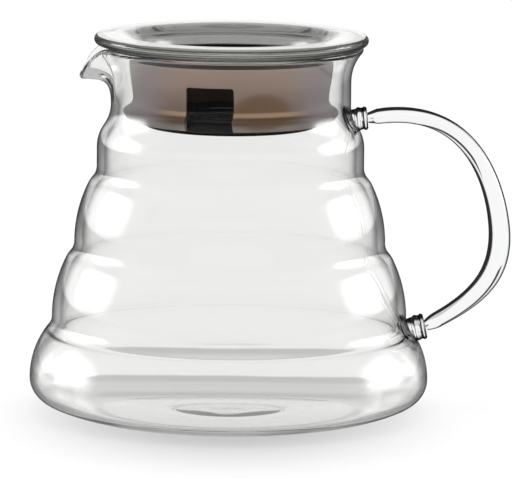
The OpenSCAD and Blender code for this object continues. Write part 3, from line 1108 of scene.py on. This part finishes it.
@dataclass(frozen=True)
class Sweep:
    """The pale floor: its shadow under the glass, and its look in reflections.

    Places are millimetres. Each share says how much light is taken away there:
    behind through the base, at the line of contact, in front, and at the back.
    """

    SIZE, CUTS, PALE = 12, 3, 0.9
    WHITE, OWN_LIGHT = 1.03, 0.8
    BEHIND, BEHIND_START, BEHIND_SHARE = (50, 108, 122, 136), (0, 50), 0.44
    CONTACT, CONTACT_SIDE, CONTACT_SHARE = (39.8, 41.0, 41.8, 44.0), (10, -25), 0.35
    FRONT_NARROW, FRONT_SHIFT, FRONT_REACH = 1.4, 15, (110, 18)
    FRONT_SHARE, FRONT_OUTSIDE, FRONT_OUTSIDE_SHARE = 0.11, (34, 43), 0.29
    BACK_START, BACK_REACH, BACK_SHARE = (10, 40), (70, 58), 0.04
    # Brightness in reflections: near, lost with distance, and left at the camera's side.
    NEAR, FALL, FALL_SHARE, LEAST, CAMERA_SIDE = 0.52, (40, 900), 0.26, 0.12, (-350, -50)

    def shade(self, x: Signal, y: Signal, bent: Signal) -> Signal:
        """Share of light that the shadow takes away; bent is 1 through glass."""
        far = around(x, y)
        wide, ahead = x * self.FRONT_NARROW, y + self.FRONT_SHIFT * MM
        behind = bent * y.step(*self.BEHIND_START, MM) * far.band(self.BEHIND, MM)
        contact = far.band(self.CONTACT, MM) * y.step(*self.CONTACT_SIDE, MM)
        outside = far.step(*self.FRONT_OUTSIDE, MM) * self.FRONT_OUTSIDE_SHARE
        front = around(wide, ahead).step(*self.FRONT_REACH, MM) * (self.FRONT_SHARE + outside)
        back = y.step(*self.BACK_START, MM) * far.step(*self.BACK_REACH, MM)
        shade = behind * self.BEHIND_SHARE + contact * self.CONTACT_SHARE
        return shade + front + back * self.BACK_SHARE

    def lay(self) -> None:
        """Lays the floor."""
        Bench.clear()
        bpy.ops.mesh.primitive_plane_add(size=self.SIZE, enter_editmode=True)
        bpy.ops.mesh.subdivide(number_cuts=self.CUTS)
        Bench.mode("OBJECT")
        floor = bpy.context.object
        floor.name = "floor"
        g = Graph(bpy.data.materials.new("white_sweep"))
        diffuse, glossy, bent = depths(g)
        straight = diffuse.step(1, 0) * (glossy < 0.5)
        bounced = glossy > 0.5
        x, y, _ = g.place()
        seen = straight * (self.WHITE - self.shade(x, y, bent > 0.5))
        near = self.NEAR - around(x, y).step(*self.FALL, MM) * self.FALL_SHARE
        mirrored = bounced * near * (self.LEAST + y.step(*self.CAMERA_SIDE, MM) * (1 - self.LEAST))
        lit = g.node("ShaderNodeBsdfDiffuse", {}, {"Color": (self.PALE, self.PALE, self.PALE, 1)})
        glow = g.node("ShaderNodeEmission", {}, {"Strength": seen + mirrored})
        shader = g.blend(straight * self.OWN_LIGHT + bounced, lit, glow)
        floor.data.materials.append(g.finish(shader))


@dataclass
class Studio:
    """White sweep, soft lamps, world and the camera of the photograph."""

    BOUNCES, GLOSSY_BOUNCES = 32, 16
    ROOM_FADE, DIM_FADE = (0.35, -0.05), (-0.55, 0.15)
    AIM_HEIGHT = 60

    camera_at: Triple = (8.23, -1700.0, 313.51)
    pitch: float = 8.649
    roll: float = 0.573
    focal_px: float = 5488.0
    picture_w: int = 512
    sensor: float = 36.0
    clip: Point = (0.05, 60)
    room: Point = (0.42, 0.22)
    dim: float = 0.12
    flag: tuple[float, float, float, float] = (0.25, 0.28, 0.42, 0.47)
    flag_dark: float = 0.96
    sweep: Sweep = Sweep()
    windows: tuple[Window, ...] = (
        Window(-106, 15, 0.24, 0.15, 9.0, 0.15),
        Window(105, 15, 0.24, 0.15, 9.0, 0.15),
        Window(-126, 12, 0.30, 0.32, 0.9, 0.18),
        Window(125, 12, 0.30, 0.32, 0.9, 0.18),
        Window(180, 7, 0.40, 0.16, 0.5, 0.14),
    )
    lamps: tuple[Softbox, ...] = (
        Softbox("softbox_left", -104, 15, 1.3, 0.60, 0.42, 1.5),
        Softbox("softbox_right", 103, 15, 1.3, 0.60, 0.42, 1.5),
        Softbox("softbox_top", 10, 78, 1.4, 0.70, 0.50, 2.5),
    )

    def aim_camera(self) -> None:
        """Sets the camera where the photograph was taken from."""
        data = bpy.data.cameras.new("camera")
        data.sensor_width = self.sensor
        data.sensor_fit = "HORIZONTAL"
        data.lens = self.focal_px * self.sensor / self.picture_w
        data.clip_start, data.clip_end = self.clip
        camera = bpy.data.objects.new("camera", data)
        camera.location = Vector(self.camera_at) * MM
        look = Euler((math.radians(90 - self.pitch), 0, 0)).to_matrix()
        camera.rotation_euler = (look @ Matrix.Rotation(math.radians(self.roll), 3, "Z")).to_euler()
        bpy.context.scene.collection.objects.link(camera)
        bpy.context.scene.camera = camera

    def paint_world(self) -> None:
        """White behind the glass, and a grey studio in its reflections."""
        g = Graph(bpy.data.worlds.new("studio"))
        diffuse, glossy, bent = depths(g)
        clean = diffuse < 0.5
        bounced = (glossy > 0.5) * clean
        bent = (bent > 0.5) * (glossy < 0.5) * clean
        x, y, up = g.place("Generated")
        studio = self.room[0] + up.step(*self.ROOM_FADE) * self.room[1]
        studio = studio * (self.dim + y.step(*self.DIM_FADE) * (1 - self.dim))
        for window in self.windows:
            studio = studio + window.glow(x, y, up)
        flags = (abs(x) / y).band(self.flag) * (y > 0)
        strength = 1 - bounced * (1 - studio) - bent * flags * self.flag_dark
        light = g.node("ShaderNodeBackground", {}, {"Color": (1, 1, 1, 1), "Strength": strength})
        bpy.context.scene.world = g.finish(light, "ShaderNodeOutputWorld")

    def build(self) -> None:
        """Builds the whole studio."""
        scene = bpy.context.scene
        scene.view_settings.view_transform = "Standard"
        scene.cycles.max_bounces = scene.cycles.transmission_bounces = self.BOUNCES
        scene.cycles.glossy_bounces = self.GLOSSY_BOUNCES
        self.aim_camera()
        self.sweep.lay()
        self.paint_world()
        for lamp in self.lamps:
            lamp.hang(Vector((0, 0, self.AIM_HEIGHT * MM)))


# ---- assembly


@dataclass
class CoffeeServer:
    """All pieces of the server, dressed and tied to their bodies."""

    CUTTER_GAP, CUTTER_TURNS = 0.03, 128

    vessel: Vessel = field(default_factory=Vessel)
    handle: Handle = field(default_factory=Handle)
    lid: Lid = field(default_factory=Lid)
    sleeve: Sleeve = field(default_factory=Sleeve)

    def wall_cutter(self) -> Piece:
        """The outside of the vessel as a closed body, a hair larger."""
        side = [(r + (self.CUTTER_GAP if r > 0 else 0), z) for r, z in self.vessel.side(0)]
        section = side + [(0.0, self.vessel.lip[1])]
        return Bench.lathe("wall_cutter", section, self.CUTTER_TURNS)

    def dress(self, obj: Piece, finish: Material, body: str, node: str) -> None:
        """Gives a piece its finish, ties it to the body it rides on, and hides its solid."""
        obj.data.materials.clear()
        obj.data.materials.append(finish)
        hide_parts(node)
        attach(obj, body)
        faces = sum(len(p.vertices) - 2 for p in obj.data.polygons)
        log.info("%s: %d triangles, for %s", obj.name, faces, node)

    def build(self) -> None:
        """Builds every piece in order."""
        blown = BlownGlass(
            "blown_glass", tint=(0.958, 0.958, 0.952), wave_size=26, wave_depth=0.10,
            stretch=(1, 1, 0.5), edge=(0.66, 0.97),
        ).make()
        drawn = RodGlass(
            "drawn_glass", tint=(0.97, 0.975, 0.975), wave_size=14, wave_depth=0.04,
            edge=(0.36, 0.64), depth=0.97,
        ).make()
        fused = RodGlass(
            "fused_glass", tint=(0.95, 0.955, 0.955), wave_size=6, wave_depth=0.05,
            edge=(0.24, 0.58), depth=0.97, near_extra=0.3,
        ).make()
        pressed = LidGlass(
            "pressed_glass", tint=(0.955, 0.965, 0.94), wave_size=16, wave_depth=0.03,
            edge=(0.22, 0.72), depth=0.85,
        ).make()
        # The silicone's amber patch, lip line, line under the lip and inner face are painted light
        # and shade.
        rubber = Silicone(
            "smoky_silicone", top=(0.53, 0.39, 0.32), waist=(0.33, 0.24, 0.205),
            foot=(0.47, 0.40, 0.33), flank=(0.40, 0.355, 0.37), amber=(0.31, 0.19, 0.105),
            ridge=(0.76, 0.52, 0.35), under=(0.22, 0.145, 0.085), inner=(0.12, 0.07, 0.045),
        ).make()
        self.dress(self.vessel.build(), blown, "carafe", "carafe_body")
        for weld in (self.handle.upper, self.handle.lower):
            self.dress(weld.build(self.wall_cutter()), fused, "carafe", weld.node)
        self.dress(self.handle.build(), drawn, "carafe", "handle_rod")
        self.dress(self.lid.build(), pressed, "lid", "lid_glass")
        self.dress(self.sleeve.build(), rubber, "sleeve", "lid_sleeve")


def main() -> None:
    """Builds the studio and the server."""
    logging.basicConfig(level=logging.INFO, format="%(name)s: %(message)s")
    Studio().build()
    CoffeeServer().build()
    Bench.clear()


if __name__ == "__main__":
    main()
